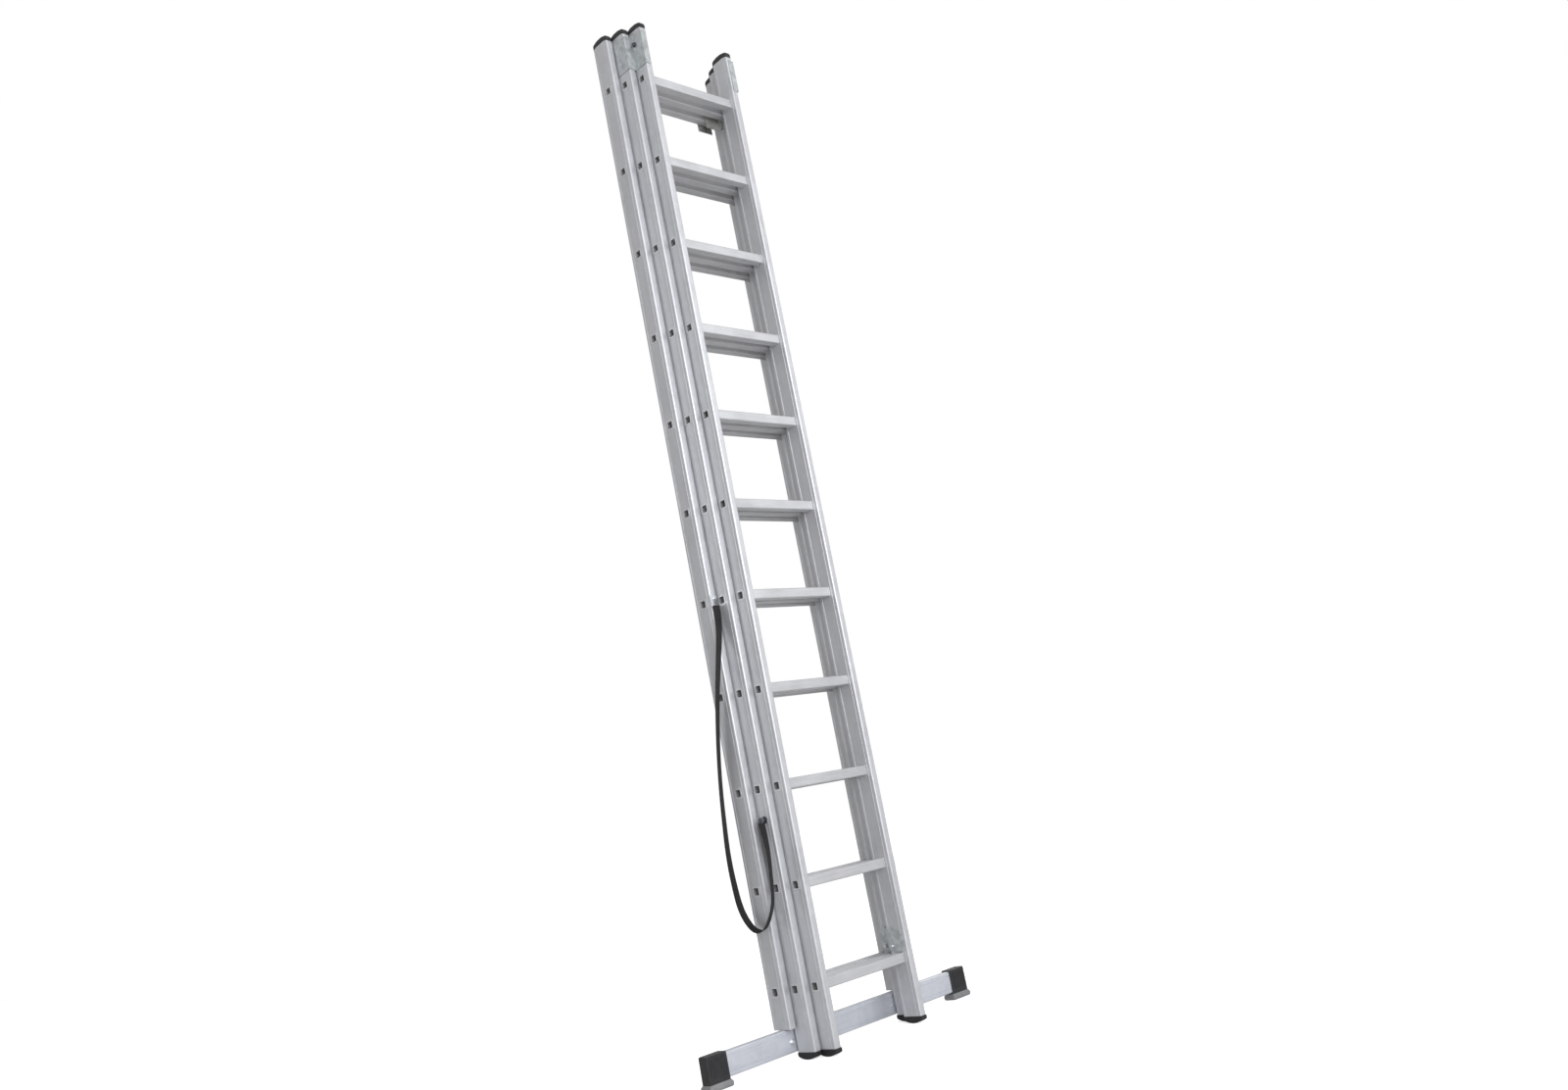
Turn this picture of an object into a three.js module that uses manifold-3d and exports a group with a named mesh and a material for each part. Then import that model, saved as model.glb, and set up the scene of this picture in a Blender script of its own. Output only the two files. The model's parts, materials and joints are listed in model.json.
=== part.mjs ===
// Three-section extension ladder that also opens as an A-frame, in millimetres.
// +X runs along the rungs, -Y faces the climber, +Z goes up the stiles.
// The rear section carries the stabiliser bar. The middle section nests in front of it,
// hangs on its top rung by two hinge hooks, and holds the front section in two guides.
import * as THREE from 'three';
import { mergeVertices } from 'three/addons/utils/BufferGeometryUtils.js';
import Module from 'manifold-3d';

const wasm = await Module();
wasm.setup();

// Driving dimensions -------------------------------------------------------------------
const GAP = 0.3; // between pieces that touch
const RUNG_COUNT = 11;
const RUNG_PITCH = 280;
const RUNG_HEIGHT = 30;
const RUNG_DEPTH = 30;
const RUNG_WALL = 1.6;
const STILE_WIDTH = 24;
const STILE_DEPTH = 70;
const STILE_WALL = 1.8;
const STILE_OVERRUN = 170; // from the first or last rung's axis to the stile's end
const REAR_WIDTH = 500; // over the outer faces of the rear section
const SIDE_CLEARANCE = 4; // between the stiles of two nested sections
const RUNG_CLEARANCE = 2.5; // from a stile's back to the rungs behind it
const FOOT_HEIGHT = 20;
const FOOT_LIP = 0.8; // how far a foot stands out round its stile
const FOOT_RISE = 9; // height of the rounded sole
const PLUG_LENGTH = 16;
const BAR_LENGTH = 1082;
const BAR_HEIGHT = 65;
const BAR_DEPTH = 28;
const BAR_WALL = 2;
const BAR_UNDERSIDE = 22; // above the ground
const BAR_CAP_LENGTH = 73;
const BAR_CAP_WALL = 3.4;
const SOLE_HEIGHT = 18;
const SOLE_FLARE = 5;
const SPIGOT_LENGTH = 60; // inside the rear stile
const SPIGOT_WIDTH = 19;
const HOOK_PLATE = 4; // sheet thickness
const HOOK_LIFT = 45; // hinge axis above the top rung's axis
const HOOK_SETBACK = 12.5; // hinge axis in front of the middle stile's back
const HOOK_PAD_RADIUS = 20;
const HOOK_HEEL = 14; // how far the plate reaches behind its slot
const HOOK_FRONT_LEG = 42;
const HOOK_REAR_LEG = 35;
const HOOK_FLANGE = 60; // along the rung
const HOOK_FLANGE_SHEET = 3;
const HOOK_SLOT_CLEARANCE = 2.8;
const HINGE_RIVET_RADIUS = 5;
const HINGE_RIVET_HEAD = 9;
const GUIDE_SHEET = 2.4;
const GUIDE_HEIGHT = 112;
const GUIDE_BELOW_TOP = 20;
const GUIDE_LAP = 18; // wrap across the front stile's face
const LOCK_PLATE = 3;
const LOCK_PIVOT_RISE = 35; // above the lowest rung's axis
const LOCK_PIVOT_SETBACK = 16; // in front of the stile's back
const LOCK_REACH = 57;
const LOCK_FRONT = 45;
const LOCK_NOSE_RADIUS = 24;
const LOCK_CORNER_RADIUS = 10;
const LOCK_SHOULDER_DROP = 14;
const STRAP_WIDTH = 25;
const STRAP_THICKNESS = 2.4;
const ROUND_SIDES = 12;

// Places that follow from them ------------------------------------------------------------
const SECTION_STEP = STILE_DEPTH / 2 + RUNG_DEPTH / 2 + RUNG_CLEARANCE;
const FIRST_RUNG = FOOT_HEIGHT + STILE_OVERRUN;
const TOP_RUNG = FIRST_RUNG + (RUNG_COUNT - 1) * RUNG_PITCH;
const STILE_TOP = TOP_RUNG + STILE_OVERRUN;
const BAR_TOP = BAR_UNDERSIDE + BAR_HEIGHT;
const SECTIONS = ['rear', 'middle', 'front'].map((name, order) => ({
  name,
  outer: REAR_WIDTH / 2 - order * (STILE_WIDTH + SIDE_CLEARANCE),
  depth: -order * SECTION_STEP,
  foot: order === 0 ? BAR_TOP + GAP : FOOT_HEIGHT,
}));
const [REAR, MIDDLE, FRONT] = SECTIONS;
const MIDDLE_INNER = MIDDLE.outer - STILE_WIDTH;
const MIDDLE_BACK = MIDDLE.depth + STILE_DEPTH / 2;
const HINGE = { y: MIDDLE_BACK - HOOK_SETBACK, z: TOP_RUNG + HOOK_LIFT };
const GUIDE_FACE = FRONT.depth - STILE_DEPTH / 2 - GAP - GUIDE_SHEET;
const REAR_FACE = STILE_DEPTH / 2;
const SIDES = [['left', -1], ['right', 1]];

// The left strap's route, from the rear stile down round the loop to the middle stile.
const STRAP_ROUTE = [
  [-239, -44, 1297], [-241, -45, 1262], [-252, -46, 1205], [-265, -40, 1140],
  [-270, -18, 1055], [-273, 4, 965], [-275, 24, 870], [-276, 40, 775], [-276, 52, 680],
  [-276, 60, 590], [-275, 60, 510], [-274, 50, 430], [-272, 22, 378], [-269, -12, 362],
  [-265, -44, 384], [-254, -66, 440], [-246, -71, 520], [-241, -70, 580], [-238, -65, 625],
  [-237, -60, 656],
];
const STRAP_STEPS = 56;

// Materials ----------------------------------------------------------------------------------
const finish = (color, roughness, metalness) =>
  new THREE.MeshStandardMaterial({ color, roughness, metalness });
const ALUMINIUM = finish(0xb4b6ba, 0.42, 0.85);
const BAR_ALUMINIUM = finish(0xc2c5cf, 0.38, 0.85);
const ZINC = finish(0xa9b2aa, 0.45, 0.9);
const BLACK_RUBBER = finish(0x141414, 0.8, 0);
const GREY_RUBBER = finish(0x3c3c3d, 0.75, 0);
const WEBBING = finish(0x241f20, 0.9, 0);

// Solids and booleans ----------------------------------------------------------------------------
function solid(geometry) {
  const bare = geometry.clone();
  bare.deleteAttribute('normal');
  bare.deleteAttribute('uv');
  const merged = mergeVertices(bare, 1e-4);
  const vertProperties = new Float32Array(merged.attributes.position.array);
  const triVerts = new Uint32Array(merged.index.array);
  return new wasm.Manifold(new wasm.Mesh({ numProp: 3, vertProperties, triVerts }));
}

function geometryOf(manifold) {
  const mesh = manifold.getMesh();
  const geometry = new THREE.BufferGeometry();
  geometry.setAttribute('position', new THREE.BufferAttribute(mesh.vertProperties, 3));
  geometry.setIndex(new THREE.BufferAttribute(mesh.triVerts, 1));
  geometry.computeVertexNormals();
  return geometry;
}

function block(x, y, z) {
  const geometry = new THREE.BoxGeometry(x[1] - x[0], y[1] - y[0], z[1] - z[0]);
  geometry.translate((x[0] + x[1]) / 2, (y[0] + y[1]) / 2, (z[0] + z[1]) / 2);
  return geometry;
}

// A span measured outward from the middle plane, on the left (-1) or right (1) side.
const span = (side, from, to) => (side < 0 ? [-to, -from] : [from, to]);

// Outlines drawn in (y, z) become plates that span x.
function plateAcross(shape, x) {
  const geometry = new THREE.ExtrudeGeometry(shape, {
    depth: x[1] - x[0], bevelEnabled: false, curveSegments: 8,
  });
  const basis = new THREE.Matrix4().makeBasis(
    new THREE.Vector3(0, 1, 0), new THREE.Vector3(0, 0, 1), new THREE.Vector3(1, 0, 0));
  geometry.applyMatrix4(basis);
  return geometry.translate(x[0], 0, 0);
}

// Outlines drawn in (x, y) become plates that span z.
function plateUp(shape, z) {
  const geometry = new THREE.ExtrudeGeometry(shape, { depth: z[1] - z[0], bevelEnabled: false });
  return geometry.translate(0, 0, z[0]);
}

function piece(name, geometry, material) {
  const mesh = new THREE.Mesh(geometry, material);
  mesh.name = name;
  return mesh;
}

// Sections: stiles and rungs -----------------------------------------------------------------------
const rungHeight = (index) => FIRST_RUNG + index * RUNG_PITCH;

function hingeHole(side, radius) {
  const inner = MIDDLE_INNER - HOOK_PLATE * 2;
  const round = new THREE.CylinderGeometry(radius, radius, STILE_WIDTH, ROUND_SIDES);
  round.rotateZ(Math.PI / 2);
  return round.translate(side * (inner + STILE_WIDTH / 2), HINGE.y, HINGE.z);
}

function stile(section, side) {
  const { outer, depth, foot } = section;
  const inner = outer - STILE_WIDTH;
  const halfDepth = STILE_DEPTH / 2;
  const halfHollow = halfDepth - STILE_WALL;
  const hole = RUNG_DEPTH / 2 + GAP;
  const holeRise = RUNG_HEIGHT / 2 + GAP;
  let tube = solid(block(span(side, inner, outer), [depth - halfDepth, depth + halfDepth],
    [foot, STILE_TOP]));
  const hollow = block(span(side, inner + STILE_WALL, outer - STILE_WALL),
    [depth - halfHollow, depth + halfHollow], [foot - 1, STILE_TOP + 1]);
  tube = tube.subtract(solid(hollow));
  for (let index = 0; index < RUNG_COUNT; index += 1) {
    const z = rungHeight(index);
    const cut = block(span(side, inner - 1, outer + 1), [depth - hole, depth + hole],
      [z - holeRise, z + holeRise]);
    tube = tube.subtract(solid(cut));
  }
  if (section === MIDDLE) {
    tube = tube.subtract(solid(hingeHole(side, rivetHoleRadius())));
  }
  return geometryOf(tube);
}

function rung(section, index) {
  const { outer, depth } = section;
  const z = rungHeight(index);
  const y = [depth - RUNG_DEPTH / 2, depth + RUNG_DEPTH / 2];
  const rise = [z - RUNG_HEIGHT / 2, z + RUNG_HEIGHT / 2];
  const hollowY = [y[0] + RUNG_WALL, y[1] - RUNG_WALL];
  const hollowZ = [rise[0] + RUNG_WALL, rise[1] - RUNG_WALL];
  const tube = solid(block([-outer, outer], y, rise));
  return geometryOf(tube.subtract(solid(block([-outer - 1, outer + 1], hollowY, hollowZ))));
}

// Feet of the middle and front stiles: a plug inside and a rounded sole below ------------------
function footOutline(depth) {
  const half = STILE_DEPTH / 2 + FOOT_LIP;
  const radius = (half * half + FOOT_RISE * FOOT_RISE) / (2 * FOOT_RISE);
  const sweep = Math.asin(half / radius);
  const shape = new THREE.Shape();
  shape.moveTo(depth + half, FOOT_HEIGHT - GAP);
  shape.lineTo(depth - half, FOOT_HEIGHT - GAP);
  shape.lineTo(depth - half, FOOT_RISE);
  shape.absarc(depth, radius, radius, -Math.PI / 2 - sweep, -Math.PI / 2 + sweep, false);
  shape.closePath();
  return shape;
}

function foot(section, side) {
  const { outer, depth } = section;
  const inner = outer - STILE_WIDTH;
  const plugHalf = STILE_DEPTH / 2 - STILE_WALL - GAP;
  const plugInset = STILE_WALL + GAP;
  const pad = solid(plateAcross(footOutline(depth),
    span(side, inner - FOOT_LIP, outer + FOOT_LIP)));
  const plug = block(span(side, inner + plugInset, outer - plugInset),
    [depth - plugHalf, depth + plugHalf], [FOOT_HEIGHT - GAP - 2, FOOT_HEIGHT + PLUG_LENGTH]);
  return geometryOf(pad.add(solid(plug)));
}

// Stabiliser bar with its end caps, and the spigots that join it to the rear stiles ----------------
function spigotSpan(side) {
  const middle = REAR.outer - STILE_WIDTH / 2;
  return span(side, middle - SPIGOT_WIDTH / 2, middle + SPIGOT_WIDTH / 2);
}

function stabiliserBar() {
  const half = BAR_DEPTH / 2;
  const inside = half - BAR_WALL;
  let tube = solid(block([-BAR_LENGTH / 2, BAR_LENGTH / 2], [-half, half],
    [BAR_UNDERSIDE, BAR_TOP]));
  tube = tube.subtract(solid(block([-BAR_LENGTH, BAR_LENGTH], [-inside, inside],
    [BAR_UNDERSIDE + BAR_WALL, BAR_TOP - BAR_WALL])));
  for (const [, side] of SIDES) {
    const [low, high] = spigotSpan(side);
    tube = tube.subtract(solid(block([low - GAP, high + GAP], [-inside + 1, inside - 1],
      [BAR_TOP - BAR_WALL - 1, BAR_TOP + 1])));
  }
  return geometryOf(tube);
}

function spigot(side) {
  const inBar = BAR_DEPTH / 2 - BAR_WALL - 1 - GAP;
  const inStile = STILE_DEPTH / 2 - STILE_WALL - GAP;
  const x = spigotSpan(side);
  const lower = block(x, [-inBar, inBar], [BAR_UNDERSIDE + BAR_WALL + GAP, BAR_TOP + 2 * GAP]);
  const upper = block(x, [-inStile, inStile], [BAR_TOP + GAP, BAR_TOP + SPIGOT_LENGTH]);
  return geometryOf(solid(lower).add(solid(upper)));
}

function barCap(side) {
  const end = BAR_LENGTH / 2 + GAP;
  const tip = end + BAR_CAP_WALL;
  const root = tip - BAR_CAP_LENGTH;
  const half = BAR_DEPTH / 2 + GAP + BAR_CAP_WALL;
  const top = BAR_TOP + GAP + BAR_CAP_WALL;
  const sleeve = solid(block(span(side, root, tip), [-half, half], [SOLE_HEIGHT - 4, top]));
  const wide = half + SOLE_FLARE;
  const sole = solid(block(span(side, root - SOLE_FLARE, tip + SOLE_FLARE), [-wide, wide],
    [0, SOLE_HEIGHT]));
  const room = block(span(side, root - 1, end), [-BAR_DEPTH / 2 - GAP, BAR_DEPTH / 2 + GAP],
    [BAR_UNDERSIDE - GAP, BAR_TOP + GAP]);
  return geometryOf(sleeve.add(sole).subtract(solid(room)));
}

// Hinge hooks: hang over the rear section's top rung and carry the middle section's rivets ---------
const rivetHoleRadius = () => (HINGE_RIVET_RADIUS + GAP) / Math.cos(Math.PI / ROUND_SIDES);

function hookOutline() {
  const slot = RUNG_DEPTH / 2 + HOOK_SLOT_CLEARANCE;
  const legFront = MIDDLE.depth + RUNG_DEPTH / 2 + 1;
  const back = slot + HOOK_HEEL;
  const shape = new THREE.Shape();
  shape.moveTo(legFront, TOP_RUNG - HOOK_FRONT_LEG);
  shape.lineTo(-slot, TOP_RUNG - HOOK_FRONT_LEG);
  shape.lineTo(-slot, TOP_RUNG + RUNG_HEIGHT / 2 + GAP);
  shape.lineTo(slot, TOP_RUNG + RUNG_HEIGHT / 2 + GAP);
  shape.lineTo(slot, TOP_RUNG - HOOK_REAR_LEG);
  shape.lineTo(slot + HOOK_PLATE, TOP_RUNG - HOOK_REAR_LEG);
  shape.lineTo(back, TOP_RUNG);
  shape.absarc(slot, HINGE.z - HOOK_HEEL, HOOK_HEEL, 0, Math.PI / 2, false);
  shape.lineTo(HINGE.y, HINGE.z + HOOK_PAD_RADIUS);
  shape.absarc(HINGE.y, HINGE.z, HOOK_PAD_RADIUS, Math.PI / 2, Math.PI * 1.25, false);
  shape.lineTo(legFront, TOP_RUNG + RUNG_HEIGHT / 2);
  shape.closePath();
  return shape;
}

function hingeHook(side) {
  const face = MIDDLE_INNER - GAP;
  const slot = RUNG_DEPTH / 2 + HOOK_SLOT_CLEARANCE;
  const plate = solid(plateAcross(hookOutline(), span(side, face - HOOK_PLATE, face)));
  const reach = span(side, face - HOOK_FLANGE, face - 1);
  const rise = TOP_RUNG + RUNG_HEIGHT / 2;
  const rearFlange = block(reach, [slot, slot + HOOK_FLANGE_SHEET],
    [TOP_RUNG - HOOK_REAR_LEG, rise]);
  const frontFlange = block(reach, [-slot - HOOK_FLANGE_SHEET, -slot],
    [TOP_RUNG - HOOK_FRONT_LEG, rise]);
  const hole = solid(hingeHole(side, rivetHoleRadius()));
  return geometryOf(plate.add(solid(rearFlange)).add(solid(frontFlange)).subtract(hole));
}

function hingeRivet(side) {
  const headStart = MIDDLE_INNER - GAP - HOOK_PLATE - GAP;
  const tailStart = MIDDLE_INNER + STILE_WALL + GAP;
  const headHeight = 5;
  const profile = [
    [0, -headHeight], [HINGE_RIVET_HEAD, -headHeight], [HINGE_RIVET_HEAD, 0],
    [HINGE_RIVET_RADIUS, 0], [HINGE_RIVET_RADIUS, tailStart - headStart],
    [HINGE_RIVET_HEAD - 1, tailStart - headStart],
    [HINGE_RIVET_HEAD - 1, tailStart - headStart + 4], [0, tailStart - headStart + 4],
  ].map(([radius, along]) => new THREE.Vector2(radius, along));
  const geometry = new THREE.LatheGeometry(profile, ROUND_SIDES);
  geometry.rotateZ(-side * Math.PI / 2);
  return geometry.translate(side * headStart, HINGE.y, HINGE.z);
}

// Guides: bent sheets riveted to the middle stiles that wrap round the front stiles --------------------
function guideOutline(side) {
  const middleFace = MIDDLE.outer + GAP;
  const frontFace = FRONT.outer + GAP;
  const middleFront = MIDDLE.depth - STILE_DEPTH / 2 - GAP;
  const back = REAR.depth - STILE_DEPTH / 2 - 1.5;
  const corners = [
    [middleFace, back], [middleFace + GUIDE_SHEET, back],
    [middleFace + GUIDE_SHEET, middleFront - GUIDE_SHEET],
    [frontFace + GUIDE_SHEET, middleFront - GUIDE_SHEET],
    [frontFace + GUIDE_SHEET, GUIDE_FACE], [frontFace - GUIDE_LAP, GUIDE_FACE],
    [frontFace - GUIDE_LAP, GUIDE_FACE + GUIDE_SHEET], [frontFace, GUIDE_FACE + GUIDE_SHEET],
    [frontFace, middleFront], [middleFace, middleFront],
  ];
  return new THREE.Shape(corners.map(([x, y]) => new THREE.Vector2(side * x, y)));
}

function guide(side) {
  const top = STILE_TOP - GUIDE_BELOW_TOP;
  return plateUp(guideOutline(side), [top - GUIDE_HEIGHT, top]);
}

// Lock plates: turn back over the rung behind to hold a raised section ----------------------------
function lockOutline(section) {
  const y = section.depth + STILE_DEPTH / 2 - LOCK_PIVOT_SETBACK;
  const z = FIRST_RUNG + LOCK_PIVOT_RISE;
  const base = z - LOCK_PIVOT_SETBACK;
  const round = LOCK_NOSE_RADIUS;
  const corner = LOCK_CORNER_RADIUS;
  const shape = new THREE.Shape();
  shape.moveTo(y - LOCK_FRONT + corner, base);
  shape.lineTo(y + LOCK_PIVOT_SETBACK - corner, base);
  shape.absarc(y + LOCK_PIVOT_SETBACK - corner, base + corner, corner, -Math.PI / 2, 0, false);
  shape.absarc(y + LOCK_PIVOT_SETBACK - round, z + LOCK_REACH - round, round,
    0, Math.PI / 2, false);
  shape.absarc(y - LOCK_FRONT + round, z + LOCK_REACH - round - LOCK_SHOULDER_DROP, round,
    Math.PI / 2, Math.PI, false);
  shape.absarc(y - LOCK_FRONT + corner, base + corner, corner, Math.PI, Math.PI * 1.5, false);
  return shape;
}

function lockPlate(section, side) {
  const face = section.outer - STILE_WIDTH - GAP;
  return plateAcross(lockOutline(section), span(side, face - LOCK_PLATE, face));
}

// Spread-limiting straps --------------------------------------------------------------------------
function strap(side) {
  const points = STRAP_ROUTE.map(([x, y, z]) => new THREE.Vector3(-side * x, y, z));
  const half = STRAP_WIDTH / 2;
  const thin = STRAP_THICKNESS / 2;
  const section = new THREE.Shape([
    [thin, -half + thin], [thin, half - thin], [thin / 2, half], [-thin / 2, half],
    [-thin, half - thin], [-thin, -half + thin], [-thin / 2, -half], [thin / 2, -half],
  ].map(([x, y]) => new THREE.Vector2(x, y)));
  return new THREE.ExtrudeGeometry(section, {
    extrudePath: new THREE.CatmullRomCurve3(points), steps: STRAP_STEPS, bevelEnabled: false,
  });
}

// Assembly --------------------------------------------------------------------------------------------
function sectionGroup(section) {
  const group = new THREE.Group();
  for (const [where, side] of SIDES) {
    group.add(piece(`${section.name}_stile_${where}`, stile(section, side), ALUMINIUM));
  }
  for (let index = 0; index < RUNG_COUNT; index += 1) {
    const number = String(index + 1).padStart(2, '0');
    group.add(piece(`${section.name}_rung_${number}`, rung(section, index), ALUMINIUM));
  }
  return group;
}

const ladder = new THREE.Group();
for (const section of SECTIONS) {
  ladder.add(sectionGroup(section));
}
ladder.add(piece('stabiliser_bar', stabiliserBar(), BAR_ALUMINIUM));
for (const [where, side] of SIDES) {
  ladder.add(piece(`bar_spigot_${where}`, spigot(side), GREY_RUBBER));
  ladder.add(piece(`bar_end_cap_${where}`, barCap(side), GREY_RUBBER));
  ladder.add(piece(`hinge_hook_${where}`, hingeHook(side), ZINC));
  ladder.add(piece(`hinge_rivet_${where}`, hingeRivet(side), ZINC));
  ladder.add(piece(`top_guide_${where}`, guide(side), ZINC));
  ladder.add(piece(`spread_strap_${where}`, strap(side), WEBBING));
  for (const section of [MIDDLE, FRONT]) {
    ladder.add(piece(`${section.name}_foot_${where}`, foot(section, side), BLACK_RUBBER));
    ladder.add(piece(`${section.name}_lock_${where}`, lockPlate(section, side), ZINC));
  }
}
// The origin is on the ground, midway between the guides' front and the rear stiles' back.
ladder.position.y = -(GUIDE_FACE + REAR_FACE) / 2;

export default ladder;
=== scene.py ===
"""Three-section extension ladder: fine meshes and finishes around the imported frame."""
import json
import logging
import math
from dataclasses import dataclass
from enum import Enum
from typing import Iterable, Sequence

import bmesh
import bpy
from bpy.types import Material, Node, NodeSocket, NodeTree, Object
from mathutils import Matrix, Vector


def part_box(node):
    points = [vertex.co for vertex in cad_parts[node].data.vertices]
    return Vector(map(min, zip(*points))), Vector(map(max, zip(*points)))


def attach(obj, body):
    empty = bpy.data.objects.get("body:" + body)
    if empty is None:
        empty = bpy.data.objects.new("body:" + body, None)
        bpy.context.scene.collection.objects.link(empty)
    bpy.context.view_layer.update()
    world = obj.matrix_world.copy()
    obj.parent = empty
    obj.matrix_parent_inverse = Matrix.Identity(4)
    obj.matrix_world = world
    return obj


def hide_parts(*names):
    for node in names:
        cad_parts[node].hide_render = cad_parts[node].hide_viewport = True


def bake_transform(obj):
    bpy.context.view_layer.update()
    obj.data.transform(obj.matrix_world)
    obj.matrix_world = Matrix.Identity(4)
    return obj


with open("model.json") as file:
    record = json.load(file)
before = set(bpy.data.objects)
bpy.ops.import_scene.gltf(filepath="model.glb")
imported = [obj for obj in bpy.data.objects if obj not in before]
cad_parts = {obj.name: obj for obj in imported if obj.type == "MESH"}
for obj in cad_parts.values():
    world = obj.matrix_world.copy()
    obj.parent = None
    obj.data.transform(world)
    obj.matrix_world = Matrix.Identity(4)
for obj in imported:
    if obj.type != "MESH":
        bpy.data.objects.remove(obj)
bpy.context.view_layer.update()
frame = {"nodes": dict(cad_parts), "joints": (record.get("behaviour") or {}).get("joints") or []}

LOG = logging.getLogger("ladder")
MM = 0.001
SIDES = (("left", -1), ("right", 1))
Point2 = tuple[float, float]
Ring = list[Vector]


class Axis(Enum):
    """The way a bar is drawn, and so the way its fine lines run."""

    RUNG = (0.02, 1.0, 1.0)
    STILE = (1.0, 1.0, 0.015)
    NONE = (1.0, 1.0, 1.0)


# Shader node groups ----------------------------------------------------


def add(tree: NodeTree, kind: str, inputs: dict[str | int, object], **settings: object) -> Node:
    """Adds a node with its inputs linked or set.

    Args:
        tree: the nodes it joins.
        kind: the node's kind.
        inputs: a socket or a value for each input named.
        settings: the node's own settings.

    Returns:
        The node.
    """
    node = tree.nodes.new(f"ShaderNode{kind}")
    for name, value in settings.items():
        setattr(node, name, value)
    for slot, value in inputs.items():
        if isinstance(value, NodeSocket):
            tree.links.new(value, node.inputs[slot])
        else:
            node.inputs[slot].default_value = value
    return node


def operate(tree: NodeTree, operation: str, *values: NodeSocket | float,
            clamp: bool = False) -> NodeSocket:
    """Adds one sum of sockets or numbers to a tree; clamp keeps it from 0 to 1."""
    node = add(tree, "Math", dict(enumerate(values)), operation=operation, use_clamp=clamp)
    return node.outputs[0]


class Effects:
    """Node groups shared by several finishes, each built once."""

    flat_pointiness = 0.52
    weave_turns = (math.radians(35), math.radians(-35))

    def __init__(self) -> None:
        """Builds every group."""
        self.draw_lines = self._draw_lines()
        self.mottle = self._mottle()
        self.edge_wear = self._edge_wear()
        self.weave = self._weave()

    @staticmethod
    def _group(name: str, inputs: Iterable[tuple], outputs: Iterable[str]) -> NodeTree:
        """Makes an empty group.

        Args:
            name: the group's name.
            inputs: name, socket kind and default of each input.
            outputs: name of each output, a number.

        Returns:
            The group with its input and output nodes.
        """
        tree = bpy.data.node_groups.new(name, "ShaderNodeTree")
        for label, kind, default in inputs:
            socket = tree.interface.new_socket(label, in_out="INPUT",
                                               socket_type=f"NodeSocket{kind}")
            socket.default_value = default
        for label in outputs:
            tree.interface.new_socket(label, in_out="OUTPUT", socket_type="NodeSocketFloat")
        tree.nodes.new("NodeGroupInput").name = "in"
        tree.nodes.new("NodeGroupOutput").name = "out"
        return tree

    def _draw_lines(self) -> NodeTree:
        """Fine lines left by the extrusion die, as a mask.

        Returns:
            The group.
        """
        tree = self._group("draw_lines", [("Stretch", "Vector", (1.0, 1.0, 1.0)),
                                          ("Scale", "Float", 400.0)], ["Mask"])
        given = tree.nodes["in"].outputs
        place = add(tree, "TexCoord", {}).outputs["Object"]
        stretch = add(tree, "VectorMath", {0: place, 1: given["Stretch"]}, operation="MULTIPLY")
        fine = add(tree, "TexNoise", {"Vector": stretch.outputs[0], "Scale": given["Scale"],
                                      "Detail": 3.0})
        tree.links.new(fine.outputs["Fac"], tree.nodes["out"].inputs["Mask"])
        return tree

    def _mottle(self) -> NodeTree:
        """Broad handling marks and spangle: a soft mask and a faceted one.

        Returns:
            The group.
        """
        tree = self._group("mottle", [("Scale", "Float", 9.0), ("Facet Scale", "Float", 90.0)],
                           ["Cloud", "Facet"])
        given = tree.nodes["in"].outputs
        place = add(tree, "TexCoord", {}).outputs["Object"]
        cloud = add(tree, "TexNoise", {"Vector": place, "Scale": given["Scale"], "Detail": 5.0,
                                       "Roughness": 0.6})
        facet = add(tree, "TexVoronoi", {"Vector": place, "Scale": given["Facet Scale"]})
        split = add(tree, "SeparateColor", {"Color": facet.outputs["Color"]})
        tree.links.new(cloud.outputs["Fac"], tree.nodes["out"].inputs["Cloud"])
        tree.links.new(split.outputs["Red"], tree.nodes["out"].inputs["Facet"])
        return tree

    def _edge_wear(self) -> NodeTree:
        """A mask of rubbed edges, broken up by noise.

        Returns:
            The group.
        """
        tree = self._group("edge_wear", [("Sharpness", "Float", 9.0),
                                         ("Breakup Scale", "Float", 60.0)], ["Mask"])
        given = tree.nodes["in"].outputs
        pointiness = add(tree, "NewGeometry", {}).outputs["Pointiness"]
        place = add(tree, "TexCoord", {}).outputs["Object"]
        noise = add(tree, "TexNoise", {"Vector": place, "Scale": given["Breakup Scale"]})
        above = operate(tree, "SUBTRACT", pointiness, self.flat_pointiness)
        gain = operate(tree, "MULTIPLY", above, given["Sharpness"], clamp=True)
        broken = operate(tree, "MULTIPLY", gain, noise.outputs["Fac"], clamp=True)
        tree.links.new(broken, tree.nodes["out"].inputs["Mask"])
        return tree

    def _weave(self) -> NodeTree:
        """Crossed threads of webbing, laid along the strap.

        Returns:
            The group.
        """
        tree = self._group("weave", [("Thread", "Float", 620.0)], ["Height"])
        thread = tree.nodes["in"].outputs["Thread"]
        lay = add(tree, "Attribute", {}, attribute_name="lay").outputs["Vector"]
        heights = []
        for turn in self.weave_turns:
            rotate = add(tree, "VectorRotate", {"Vector": lay, "Angle": turn})
            wave = add(tree, "TexWave", {"Vector": rotate.outputs[0], "Scale": thread,
                                         "Distortion": 0.4})
            heights.append(wave.outputs["Fac"])
        crossed = operate(tree, "MAXIMUM", *heights)
        tree.links.new(crossed, tree.nodes["out"].inputs["Height"])
        return tree


# Finishes --------------------------------------------------------------


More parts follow.
